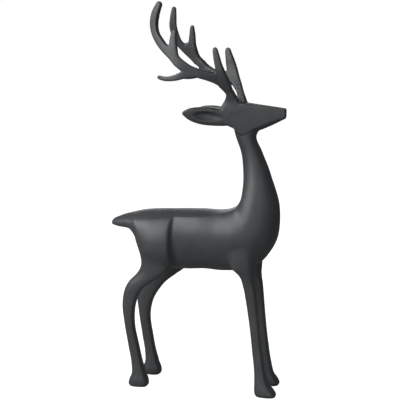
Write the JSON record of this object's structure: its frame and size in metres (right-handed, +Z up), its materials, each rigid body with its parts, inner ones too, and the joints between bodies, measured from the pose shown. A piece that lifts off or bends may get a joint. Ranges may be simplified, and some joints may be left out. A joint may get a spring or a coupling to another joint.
{
  "type": "deer figurine",
  "caption": "Standing stag figurine with a smooth stylised body, long neck, slim legs and branched antlers, finished in matt charcoal.",
  "frame": {"origin": "on the ground plane that the four soles stand on, under the centre of the bounding box", "axes": "+X is the way the stag faces, +Y is its left side, +Z is up"},
  "size_m": [0.1958, 0.084, 0.4187],
  "materials": {
    "charcoal": "matt charcoal paint over cast resin"
  },
  "bodies": {
    "root": {"deer": "charcoal"}
  },
  "joints": []
}
